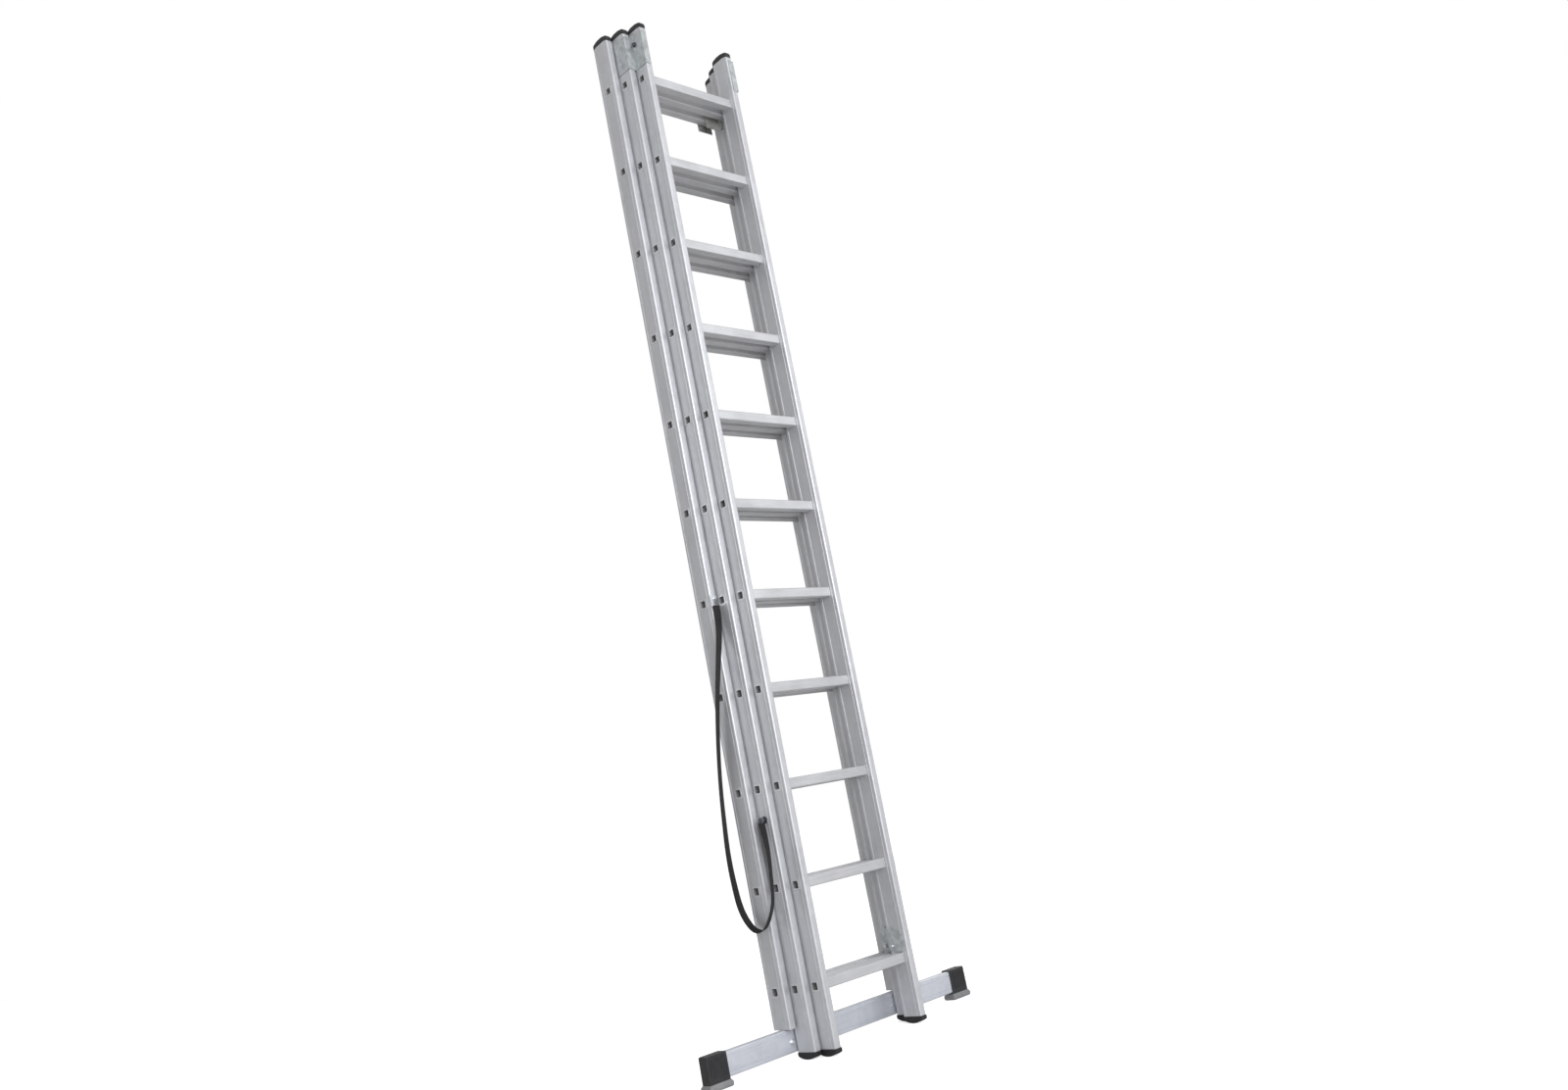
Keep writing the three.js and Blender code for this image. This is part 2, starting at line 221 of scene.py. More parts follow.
@dataclass(frozen=True)
class Finish:
    """One surface: its colour pair, gloss, and how strongly each effect shows."""

    name: str
    slot: str
    dark: tuple[float, float, float]
    light: tuple[float, float, float]
    metallic: float
    roughness: float
    lines: Axis = Axis.NONE
    line_strength: float = 0.0
    facet_strength: float = 0.0
    wear: float = 0.0
    wear_colour: tuple[float, float, float] = (0.8, 0.8, 0.82)
    bump: float = 0.05
    grain: float = 600.0
    woven: bool = False

    def make(self, effects: Effects) -> Material:
        """Builds the material.

        Args:
            effects: the shared node groups.

        Returns:
            The finished material.
        """
        material = bpy.data.materials.new(self.name)
        material.use_nodes = True
        tree = material.node_tree
        shader = tree.nodes["Principled BSDF"]
        shader.inputs["Metallic"].default_value = self.metallic
        mottle = add(tree, "Group", {}, node_tree=effects.mottle)
        wear = add(tree, "Group", {}, node_tree=effects.edge_wear)
        lines = add(tree, "Group", {"Stretch": self.lines.value, "Scale": self.grain},
                    node_tree=effects.draw_lines)
        tone = self._tone(tree, mottle, lines)
        colour = self._mix(tree, tone, (*self.dark, 1.0), self.light)
        shown = operate(tree, "MULTIPLY", wear.outputs["Mask"], self.wear, clamp=True)
        worn = self._mix(tree, shown, colour, self.wear_colour)
        tree.links.new(worn, shader.inputs["Base Color"])
        gloss = add(tree, "MapRange", {"Value": tone, "To Min": self.roughness + GLOSS_SPREAD[0],
                                       "To Max": self.roughness + GLOSS_SPREAD[1]})
        tree.links.new(gloss.outputs[0], shader.inputs["Roughness"])
        height = lines.outputs["Mask"]
        if self.woven:
            height = add(tree, "Group", {}, node_tree=effects.weave).outputs["Height"]
        bump = add(tree, "Bump", {"Strength": self.bump, "Distance": RELIEF_DEPTH,
                                  "Height": height})
        tree.links.new(bump.outputs["Normal"], shader.inputs["Normal"])
        return material

    def _tone(self, tree: NodeTree, mottle: Node, lines: Node) -> NodeSocket:
        """Weighs cloud, lines and facets into one value from 0 to 1.

        Args:
            tree: the material's nodes.
            mottle: the placed mottle group.
            lines: the placed line group.

        Returns:
            The value's socket.
        """
        cloud = 1.0 - self.line_strength - self.facet_strength
        shares = ((mottle.outputs["Cloud"], cloud), (lines.outputs["Mask"], self.line_strength),
                  (mottle.outputs["Facet"], self.facet_strength))
        total: NodeSocket | float = 0.0
        for socket, share in shares:
            total = operate(tree, "MULTIPLY_ADD", socket, share, total)
        spread = add(tree, "MapRange", {"Value": total, "From Min": TONE_SPAN[0],
                                        "From Max": TONE_SPAN[1]})
        return spread.outputs[0]

    @staticmethod
    def _mix(tree: NodeTree, factor: NodeSocket, first: NodeSocket | Sequence[float],
             second: Sequence[float]) -> NodeSocket:
        """Mixes two colours by a value; the first may be a socket or a colour with its alpha."""
        mix = add(tree, "Mix", {"Factor": factor, "A": first, "B": (*second, 1.0)},
                  data_type="RGBA")
        return mix.outputs["Result"]


# The tone's range before it is spread, the roughness either side, and the relief in metres.
TONE_SPAN = (0.32, 0.68)
GLOSS_SPREAD = (-0.07, 0.09)
RELIEF_DEPTH = 0.0006

STILE_METAL = Finish("extruded_stile", "stile_aluminium", (0.48, 0.485, 0.50), (0.60, 0.605, 0.625),
                     0.55, 0.42, Axis.STILE, 0.45, wear=0.5, bump=0.12, grain=420.0)
RUNG_METAL = Finish("ribbed_rung", "rung_aluminium", (0.52, 0.52, 0.53), (0.68, 0.68, 0.69),
                    0.5, 0.36, Axis.RUNG, 0.45, wear=0.7, bump=0.12, grain=420.0)
BAR_METAL = Finish("satin_bar", "bar_aluminium", (0.50, 0.52, 0.58), (0.64, 0.66, 0.72),
                   0.5, 0.38, Axis.RUNG, 0.4, wear=0.5, bump=0.1, grain=420.0)
GALVANISED = Finish("galvanised_sheet", "galvanised_steel", (0.42, 0.445, 0.45),
                    (0.58, 0.605, 0.61), 0.6, 0.38, facet_strength=0.4, wear=0.6, bump=0.08)
ZINC_FASTENER = Finish("zinc_fastener", "galvanised_steel", (0.55, 0.57, 0.60),
                       (0.76, 0.78, 0.80), 0.8, 0.26, wear=0.7, bump=0.06)
# The hinge steel's dark brown-grey colour is painted shade: the hooks sit in shadow under the top
# rung, and their colour is darkened to match.
SHADED_HINGE_STEEL = Finish("hinge_steel_painted_shade", "galvanised_steel", (0.27, 0.265, 0.24),
                     (0.42, 0.415, 0.385), 0.5, 0.45, facet_strength=0.3, wear=0.6, bump=0.12)
DARK_BOLT = Finish("dark_bolt", "galvanised_steel", (0.04, 0.05, 0.065), (0.10, 0.115, 0.14),
                   0.6, 0.35, wear=0.6, bump=0.06)
FOOT_RUBBER = Finish("foot_rubber", "black_rubber", (0.006, 0.006, 0.007), (0.018, 0.018, 0.02),
                     0.0, 0.55, wear=0.35, wear_colour=(0.06, 0.06, 0.06), bump=0.3, grain=900.0)
CAP_PLASTIC = Finish("cap_plastic", "grey_plastic", (0.008, 0.008, 0.009), (0.022, 0.022, 0.024),
                     0.0, 0.5, wear=0.3, wear_colour=(0.10, 0.10, 0.10), bump=0.25, grain=900.0)
SOLE_PLASTIC = Finish("sole_plastic", "grey_plastic", (0.16, 0.16, 0.162), (0.25, 0.25, 0.252),
                      0.0, 0.6, wear=0.4, wear_colour=(0.3, 0.3, 0.3), bump=0.3, grain=900.0)
WEBBING = Finish("strap_webbing", "black_webbing", (0.008, 0.007, 0.008), (0.03, 0.026, 0.027),
                 0.0, 0.85, bump=0.9, woven=True)
FLOOR_PAPER = Finish("floor_paper", "", (0.60, 0.60, 0.60), (0.64, 0.64, 0.64), 0.0, 0.9,
                     bump=0.02)
ALL_FINISHES = (STILE_METAL, RUNG_METAL, BAR_METAL, GALVANISED, ZINC_FASTENER, SHADED_HINGE_STEEL,
                DARK_BOLT, FOOT_RUBBER, CAP_PLASTIC, SOLE_PLASTIC, WEBBING, FLOOR_PAPER)


# Mesh work -------------------------------------------------------------


def rounded_outline(half_a: float, half_b: float, radius: float, steps: int = 5,
                    grooves: Sequence[float] = (), depth: float = 0.0,
                    half_groove: float = 1.6 * MM) -> list[Point2]:
    """An outline with round corners, and grooves along both faces that cross the first axis.

    Args:
        half_a: half its size along the first axis.
        half_b: half its size along the second axis.
        radius: the corners' radius.
        steps: segments in each corner.
        grooves: where the grooves lie along the second axis.
        depth: how deep they are.
        half_groove: half their width.

    Returns:
        The points in order round the outline.
    """
    points: list[Point2] = []
    corners = ((1, 1, 0), (-1, 1, 90), (-1, -1, 180), (1, -1, 270))
    for sign_a, sign_b, start in corners:
        centre_a = sign_a * (half_a - radius)
        centre_b = sign_b * (half_b - radius)
        for step in range(steps + 1):
            angle = math.radians(start + 90 * step / steps)
            points.append((centre_a + radius * math.cos(angle), centre_b + radius * math.sin(angle)))
        if start in (90, 270):
            side = -1 if start == 90 else 1
            for centre in sorted(grooves, reverse=start == 90):
                for offset, sink in ((-1.0, 0.0), (-0.5, 1.0), (0.5, 1.0), (1.0, 0.0)):
                    along = centre + side * offset * half_groove
                    points.append((side * (half_a - sink * depth), along))
    return points


def loft(name: str, rings: Sequence[Ring], cyclic: bool = False) -> Object:
    """Joins rings of equal count into one skin.

    Args:
        name: the new object's name.
        rings: the rings, in order.
        cyclic: joins the last ring to the first, for a tube with a wall; else ends are closed.

    Returns:
        The object.
    """
    mesh = bmesh.new()
    rows = [[mesh.verts.new(point) for point in ring] for ring in rings]
    pairs = list(zip(rows, rows[1:]))
    if cyclic:
        pairs.append((rows[-1], rows[0]))
    count = len(rows[0])
    for row, following in pairs:
        for index in range(count):
            after = (index + 1) % count
            mesh.faces.new((row[index], row[after], following[after], following[index]))
    if not cyclic:
        mesh.faces.new(tuple(reversed(rows[0])))
        mesh.faces.new(tuple(rows[-1]))
    bmesh.ops.recalc_face_normals(mesh, faces=mesh.faces)
    return as_object(name, mesh)


def as_object(name: str, mesh: bmesh.types.BMesh) -> Object:
    """Turns mesh work into a linked object.

    Args:
        name: the object's name.
        mesh: the mesh work, which is freed.

    Returns:
        The object.
    """
    data = bpy.data.meshes.new(name)
    mesh.to_mesh(data)
    mesh.free()
    made = bpy.data.objects.new(name, data)
    bpy.context.scene.collection.objects.link(made)
    return made


def settle(piece: Object, bevel: float = 0.0, segments: int = 2, angle: float = 32.0) -> Object:
    """Applies a bevel and even normals, and the piece's other modifiers.

    Args:
        piece: the piece.
        bevel: the bevel's width, or 0 for none.
        segments: segments in the bevel.
        angle: edges flatter than this in degrees stay smooth.

    Returns:
        The piece.
    """
    if bevel:
        edge = piece.modifiers.new("bevel", "BEVEL")
        edge.width = bevel
        edge.segments = segments
        edge.limit_method = "ANGLE"
        edge.angle_limit = math.radians(angle)
    apply_modifiers(piece)
    piece.data.shade_smooth()
    piece.data.set_sharp_from_angle(angle=math.radians(angle))
    even = piece.modifiers.new("even_normals", "WEIGHTED_NORMAL")
    even.keep_sharp = True
    apply_modifiers(piece)
    return piece


def apply_modifiers(piece: Object) -> None:
    """Replaces the piece's mesh by its evaluated one.

    Args:
        piece: the piece.
    """
    graph = bpy.context.evaluated_depsgraph_get()
    graph.update()
    shaped = bpy.data.meshes.new_from_object(piece.evaluated_get(graph))
    piece.modifiers.clear()
    piece.data = shaped


def refined(node: str, name: str) -> Object:
    """A welded copy of a node's solid, ready for a bevel.

    Args:
        node: the node.
        name: the new piece's name.

    Returns:
        The copy.
    """
    work = bmesh.new()
    work.from_mesh(frame["nodes"][node].data)
    bmesh.ops.remove_doubles(work, verts=work.verts, dist=0.00002)
    bmesh.ops.dissolve_limit(work, angle_limit=math.radians(1.5), verts=work.verts,
                             edges=work.edges)
    return as_object(name, work)


def cut(piece: Object, cutter: Object) -> None:
    """Cuts one closed piece by another, and removes the cutter.

    Args:
        piece: the piece that stays.
        cutter: the piece that is taken out of it.
    """
    hole = piece.modifiers.new("cut", "BOOLEAN")
    hole.operation = "DIFFERENCE"
    hole.solver = "EXACT"
    hole.object = cutter
    apply_modifiers(piece)
    bpy.data.objects.remove(cutter)


def lathe(name: str, profile: Sequence[Point2], centre: Vector, axis: Vector,
          sides: int = 24) -> Object:
    """Turns a profile round an axis.

    Args:
        name: the object's name.
        profile: radius and place along the axis of each point, from end to end.
        centre: where the axis starts.
        axis: its direction.
        sides: sides round it.

    Returns:
        The object.
    """
    turn = axis.normalized().to_track_quat("Z", "Y").to_matrix()
    turns = [2 * math.pi * index / sides for index in range(sides)]
    rings = [[centre + turn @ Vector((radius * math.cos(angle), radius * math.sin(angle), along))
              for angle in turns] for radius, along in profile]
    return loft(name, rings)


def spans(box: Sequence[Sequence[float]]) -> tuple[Vector, Vector, Vector, Vector]:
    """A box's lowest corner, highest corner, centre and half size."""
    low, high = (Vector(corner) for corner in box)
    return low, high, (low + high) / 2, (high - low) / 2


def join(name: str, parts: Sequence[Object]) -> Object:
    """Merges parts that are one piece of hardware.

    Args:
        name: the merged piece's name.
        parts: the parts, which are used up.

    Returns:
        The merged piece.
    """
    work = bmesh.new()
    for part in parts:
        work.from_mesh(part.data)
        bpy.data.objects.remove(part)
    return as_object(name, work)


# Turned heads: radius and place along the axis, in metres, from end to end.
HEAD_PROFILE = ((0.0001, 0.0), (0.0052, 0.0), (0.0054, 0.0008), (0.0045, 0.0026),
                (0.0026, 0.0036), (0.0001, 0.0039))
STUD_PROFILE = ((0.0001, 0.0), (0.0110, 0.0), (0.0112, 0.0014), (0.0060, 0.0020),
                (0.0055, 0.0120), (0.0092, 0.0128), (0.0094, 0.0158), (0.0080, 0.0168),
                (0.0001, 0.0170))
BOLT_PROFILE = ((0.0001, 0.0), (0.0092, 0.0), (0.0094, 0.0013), (0.0066, 0.0015),
                (0.0066, 0.0058), (0.0058, 0.0068), (0.0001, 0.0070))
RIVET_PROFILE = ((0.0001, 0.0), (0.0042, 0.0), (0.0043, 0.0003), (0.0036, 0.0008),
                 (0.0001, 0.0011))
WASHER_PROFILE = ((0.0001, -0.0005), (0.0105, -0.0005), (0.0105, 0.0009), (0.0001, 0.0011))
TOWARDS_FRONT = Vector((0, -1, 0))


# The workshop: gives each piece its finish and body --------------


class Workshop:
    """Holds the finished materials and books every piece in."""

    def __init__(self) -> None:
        """Builds the shared effects and every material."""
        effects = Effects()
        self.materials = {finish: finish.make(effects) for finish in ALL_FINISHES}
        self.count = 0

    def dress(self, piece: Object, finish: Finish, body: str | None,
              replaces: Sequence[str] = ()) -> Object:
        """Gives a piece its finish, hangs it on its body and hides the nodes it stands for.

        Args:
            piece: the piece, in place.
            finish: its finish.
            body: the body it rides on, or None where it rides on no single body.
            replaces: the nodes it stands for.

        Returns:
            The piece.
        """
        piece.data.materials.clear()
        piece.data.materials.append(self.materials[finish])
        if body:
            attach(piece, body)
        if replaces:
            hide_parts(*replaces)
        self.count += 1
        LOG.info("%s: %s on %s", piece.name, finish.name, body or "two bodies")
        return piece

    def refine(self, node: str, finish: Finish, body: str, bevel: float, segments: int = 2) -> None:
        """Makes a piece from a node's own solid with its edges rounded."""
        piece = settle(refined(node, f"fine_{node}"), bevel, segments)
        self.dress(piece, finish, body, [node])

    def fasten(self, name: str, profile: Sequence[Point2], place: Sequence[float], way: Vector,
               finish: Finish, body: str, sides: int = 24, bevel: float = 0.0) -> None:
        """Makes one turned fastener that sticks out the given way from its place."""
        head = lathe(name, profile, Vector(place), way, sides)
        self.dress(settle(head, bevel), finish, body)


# Camera, light and floor -----------------------------------------------


@dataclass(frozen=True)
class Panel:
    """One soft panel: its place and side in metres, its power in watts and its tint."""

    name: str
    place: tuple[float, float, float]
    side: float
    power: float
    tint: tuple[float, float, float]


@dataclass(frozen=True)
class Studio:
    """A white studio seen from low on the left, with soft light from three sides."""

    eye: tuple[float, float, float] = (-2.838, -2.867, 0.667)
    azimuth: float = 45.9
    elevation: float = 10.29
    roll: float = -11.27
    lens: float = 30.67
    shift: tuple[float, float] = (-0.0086, 0.0124)
    floor_size: float = 60.0
    surround_light: float = 0.54
    floor_lift: float = 0.74
    floor_drop: float = 0.5 * MM
    sensor: float = 36.0
    panels: tuple[Panel, ...] = (
        Panel("left_panel", (-2.8, -6.0, 2.9), 3.0, 285.0, (0.95, 0.97, 1.0)),
        Panel("front_panel", (1.5, -5.0, 3.2), 3.0, 90.0, (0.93, 0.96, 1.0)),
        Panel("right_panel", (4.5, 1.5, 2.4), 2.5, 60.0, (1.0, 0.99, 0.97)),
    )
    lit_point: tuple[float, float, float] = (0.0, 0.0, 1.5)

    @staticmethod
    def _brighter_when_seen(tree: NodeTree, socket: NodeSocket, lit: float, seen: float) -> None:
        """Sets a strength for what the surface lights, and another for how it looks.

        Args:
            tree: the world's or the floor's nodes.
            socket: the strength.
            lit: its value for light.
            seen: its value as seen.
        """
        seen_by_camera = add(tree, "LightPath", {}).outputs["Is Camera Ray"]
        choose = add(tree, "MapRange", {"Value": seen_by_camera, "To Min": lit, "To Max": seen})
        tree.links.new(choose.outputs[0], socket)

    def camera(self) -> None:
        """Makes the camera, level first and then rolled about its line of sight."""
        azimuth, elevation = math.radians(self.azimuth), math.radians(self.elevation)
        ahead = Vector((math.sin(azimuth) * math.cos(elevation),
                        math.cos(azimuth) * math.cos(elevation), math.sin(elevation)))
        level = Vector((math.cos(azimuth), -math.sin(azimuth), 0.0))
        above = level.cross(ahead)
        turn = math.radians(self.roll)
        right = level * math.cos(turn) + above * math.sin(turn)
        up = right.cross(ahead)
        basis = Matrix((right, up, -ahead)).transposed().to_4x4()
        data = bpy.data.cameras.new("studio_camera")
        data.sensor_width = self.sensor
        data.lens = self.lens
        data.shift_x, data.shift_y = self.shift
        camera = bpy.data.objects.new("studio_camera", data)
        camera.matrix_world = Matrix.Translation(self.eye) @ basis
        bpy.context.scene.collection.objects.link(camera)
        bpy.context.scene.camera = camera

    def light(self) -> None:
        """Adds an even white surround and the soft panels, which face the ladder's middle."""
        world = bpy.data.worlds.new("white_surround")
        world.use_nodes = True
        surround = world.node_tree.nodes["Background"]
        surround.inputs["Color"].default_value = (1, 1, 1, 1)
        self._brighter_when_seen(world.node_tree, surround.inputs["Strength"],
                                 self.surround_light, 1.0)
        bpy.context.scene.world = world
        bpy.context.scene.view_settings.view_transform = "Standard"
        for panel in self.panels:
            data = bpy.data.lights.new(panel.name, "AREA")
            data.size = panel.side
            data.energy = panel.power
            data.color = panel.tint
            lamp = bpy.data.objects.new(panel.name, data)
            lamp.location = panel.place
            aim = Vector(self.lit_point) - Vector(panel.place)
            lamp.rotation_euler = aim.to_track_quat("-Z", "Y").to_euler()
            bpy.context.scene.collection.objects.link(lamp)

    def floor(self, shop: Workshop) -> None:
        """Lays the plain pale floor.

        Args:
            shop: gives the floor its finish.
        """
        half = self.floor_size / 2
        work = bmesh.new()
        corners = ((-half, -half), (half, -half), (half, half), (-half, half))
        work.faces.new([work.verts.new((x, y, -self.floor_drop)) for x, y in corners])
        floor = as_object("studio_floor", work)
        paper = shop.materials[FLOOR_PAPER]
        shader = paper.node_tree.nodes["Principled BSDF"]
        shader.inputs["Emission Color"].default_value = (1, 1, 1, 1)
        self._brighter_when_seen(paper.node_tree, shader.inputs["Emission Strength"], 0.0,
                                 self.floor_lift)
        floor.data.materials.append(paper)


# Straps ----------------------------------------------------------------


# The left strap's route in the ladder's frame, in metres, before the frame's shift along Y.
STRAP_ROUTE = (
    (-0.239, -0.044, 1.297), (-0.241, -0.045, 1.262), (-0.252, -0.046, 1.205),
    (-0.265, -0.040, 1.140), (-0.270, -0.018, 1.055), (-0.273, 0.004, 0.965),
    (-0.275, 0.024, 0.870), (-0.276, 0.040, 0.775), (-0.276, 0.052, 0.680),
    (-0.276, 0.060, 0.590), (-0.275, 0.060, 0.510), (-0.274, 0.050, 0.430),
    (-0.272, 0.022, 0.378), (-0.269, -0.012, 0.362), (-0.265, -0.044, 0.384),
    (-0.254, -0.066, 0.440), (-0.246, -0.071, 0.520), (-0.241, -0.070, 0.580),
    (-0.238, -0.065, 0.625), (-0.237, -0.060, 0.656),
)


@dataclass
class SpreadStraps:
    """The two webbing straps that limit the spread, with their anchors."""

    shop: Workshop
    width: float = 25 * MM
    thickness: float = 1.9 * MM
    steps_per_span: int = 10
    rear_twist: float = 0.42
    front_twist: float = -0.5
    turning_share: float = 0.72
    clip_half: Point2 = (11 * MM, 20 * MM)
    clip_corner: float = 3 * MM
    clip_depths: Point2 = (0.2 * MM, 3.2 * MM)
    clip_rise: float = 12 * MM
    screw_rise: float = 22 * MM
    stud_rise: float = 6 * MM
    half_stile_depth: float = 35 * MM
    depth_shift: float = 0.0

    def build(self) -> None:
        """Makes both straps and their hardware."""
        rear_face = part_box("rear_stile_left")[1][1]
        self.depth_shift = rear_face - self.half_stile_depth
        for where, side in SIDES:
            self._strap(where, side)
            self._anchors(where, side)

    def _line(self, side: int) -> list[Vector]:
        """The centreline, finely stepped through the route's points.

        Args:
            side: -1 for left and 1 for right.

        Returns:
            The points.
        """
        places = [Vector((-side * x, y + self.depth_shift, z)) for x, y, z in STRAP_ROUTE]
        padded = [2 * places[0] - places[1], *places, 2 * places[-1] - places[-2]]
        line = []
        for before, start, end, after in zip(padded, padded[1:], padded[2:], padded[3:]):
            for step in range(self.steps_per_span):
                line.append(self._between(before, start, end, after, step / self.steps_per_span))
        line.append(places[-1])
        return line

    @staticmethod
    def _between(before: Vector, start: Vector, end: Vector, after: Vector, t: float) -> Vector:
        """A point on the smooth curve between two route points.

        Args:
            before: the route point before the two.
            start: the first of the two.
            end: the second of the two.
            after: the route point after the two.
            t: how far along, from 0 to 1.

        Returns:
            The point.
        """
        out = (end - before) * 0.5
        home = (after - start) * 0.5
        square, cube = t * t, t * t * t
        return (start * (2 * cube - 3 * square + 1) + out * (cube - 2 * square + t)
                + end * (3 * square - 2 * cube) + home * (cube - square))

    def _strap(self, where: str, side: int) -> None:
        """Args:
            where: left or right.
            side: -1 for left and 1 for right.
        """
        line = self._line(side)
        lengths = [0.0]
        for start, end in zip(line, line[1:]):
            lengths.append(lengths[-1] + (end - start).length)
        total = lengths[-1]
        half, thin = self.width / 2, self.thickness / 2
        edge = 0.7 * thin
        section = [(-half + edge, -thin), (0.0, -thin), (half - edge, -thin), (half, -thin * 0.3),
                   (half, thin * 0.3), (half - edge, thin), (0.0, thin), (-half + edge, thin),
                   (-half, thin * 0.3), (-half, -thin * 0.3)]
        rings = []
        for index, point in enumerate(line):
            ahead = line[min(index + 1, len(line) - 1)] - line[max(index - 1, 0)]
            ahead.normalize()
            across = Vector((side, 0, 0))
            across = (across - ahead * across.dot(ahead)).normalized()
            share = lengths[index] / total
            turn = side * self._twist_at(share)
            across = Matrix.Rotation(turn, 3, ahead) @ across
            flat = ahead.cross(across)
            rings.append([point + across * a + flat * b for a, b in section])
        strap = loft(f"webbing_strap_{where}", rings)
        lay = strap.data.attributes.new("lay", "FLOAT_VECTOR", "POINT")
        for number in range(len(line) * len(section)):
            ring, corner = divmod(number, len(section))
            lay.data[number].vector = (lengths[ring], section[corner][0], section[corner][1])
        strap.data.shade_smooth()
        strap.data.set_sharp_from_angle(angle=math.radians(50))
        self.shop.dress(strap, WEBBING, None, [f"spread_strap_{where}"])
        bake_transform(strap)

    def _twist_at(self, share: float) -> float:
        """How far the webbing has turned about its own line.

        Args:
            share: how far along the strap, from 0 to 1.

        Returns:
            The turn in radians.
        """
        if share < self.turning_share:
            return self.rear_twist * math.sin(math.pi * share / self.turning_share)
        past = (share - self.turning_share) / (1 - self.turning_share)
        return self.front_twist * math.sin(math.pi * past)

    def _anchors(self, where: str, side: int) -> None:
        """Makes the clip and screw on the rear stile and the stud on the middle stile.

        Args:
            where: left or right.
            side: -1 for left and 1 for right.
        """
        line = self._line(side)
        upper, lower = line[0], line[-1]
        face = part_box(f"rear_stile_{where}")[0][1]
        outline = rounded_outline(*self.clip_half, self.clip_corner)
        clip = loft(f"strap_clip_{where}", [
            [Vector((upper.x + a, face - depth, upper.z + self.clip_rise + b)) for a, b in outline]
            for depth in self.clip_depths])
        self.shop.dress(settle(clip, 0.8 * MM), ZINC_FASTENER, "rear_section")
        self.shop.fasten(f"strap_clip_screw_{where}", HEAD_PROFILE,
                         (upper.x, face - 3 * MM, upper.z + self.screw_rise), TOWARDS_FRONT,
                         ZINC_FASTENER, "rear_section")
        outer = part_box(f"middle_stile_{where}")
        stile_face = outer[0][0] if side < 0 else outer[1][0]
        self.shop.fasten(f"strap_stud_{where}", STUD_PROFILE,
                         (stile_face, lower.y, lower.z + self.stud_rise), Vector((side, 0, 0)),
                         DARK_BOLT, "middle_section")


# Sections: stiles, rungs, feet and top caps ----------------------------


